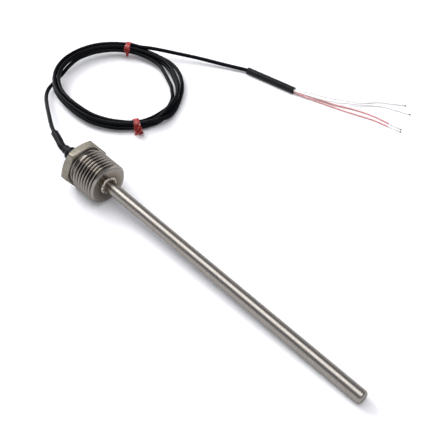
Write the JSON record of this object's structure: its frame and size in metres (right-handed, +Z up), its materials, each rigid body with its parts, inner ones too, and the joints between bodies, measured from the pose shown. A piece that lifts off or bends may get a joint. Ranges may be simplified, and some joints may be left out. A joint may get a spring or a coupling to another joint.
{
  "type": "resistance temperature probe with threaded head",
  "caption": "Temperature probe lying on a surface: slim closed metal sheath, hexagonal threaded head, rear boot, coiled black cable held by red ties, and thin wires with bare ends.",
  "frame": {"origin": "centre of the footprint of the probe itself, without its cable, on the surface that it lies on", "axes": "+X along the sheath, towards the closed tip; +Z up from the surface"},
  "size_m": [0.2511, 0.1709, 0.0224],
  "materials": {
    "steel": "turned and brushed stainless steel",
    "weld": "bright weld",
    "boot": "black heat-shrunk tube, soft sheen",
    "resin": "cured sealing resin",
    "ceramic": "fired alumina",
    "powder": "packed white powder",
    "film": "amber polyimide film",
    "paste": "white heat paste",
    "lead_metal": "drawn bright wire",
    "cable_jacket": "black rubber jacket, soft gloss",
    "tie": "red plastic over a soft wire",
    "sleeve": "black heat-shrunk tube",
    "wire_red": "red wire insulation",
    "wire_white": "white wire insulation",
    "bare_wire": "tinned strands"
  },
  "bodies": {
    "root": {"hex_head": "steel", "sheath_tube": "steel", "weld_bead": "weld", "end_boot": "boot", "resin_seal": "resin", "sensing_chip": "ceramic", "chip_leads": "lead_metal", "powder_fill": "powder", "guard_tube": "film", "heat_paste": "paste", "splice_red": "lead_metal", "splice_white": "lead_metal", "core_red_a": "wire_red", "core_red_b": "wire_red", "core_white_a": "wire_white", "core_white_b": "wire_white", "strain_sleeve": "sleeve", "cable_lead": "cable_jacket", "cable_coil": "cable_jacket", "cable_run": "cable_jacket", "tie_upper": "tie", "tie_lower": "tie", "junction_sleeve": "sleeve", "wire_red_a": "wire_red", "wire_red_b": "wire_red", "wire_white_a": "wire_white", "wire_white_b": "wire_white", "bare_red_a": "bare_wire", "bare_red_b": "bare_wire", "bare_white_a": "bare_wire", "bare_white_b": "bare_wire"}
  },
  "joints": []
}
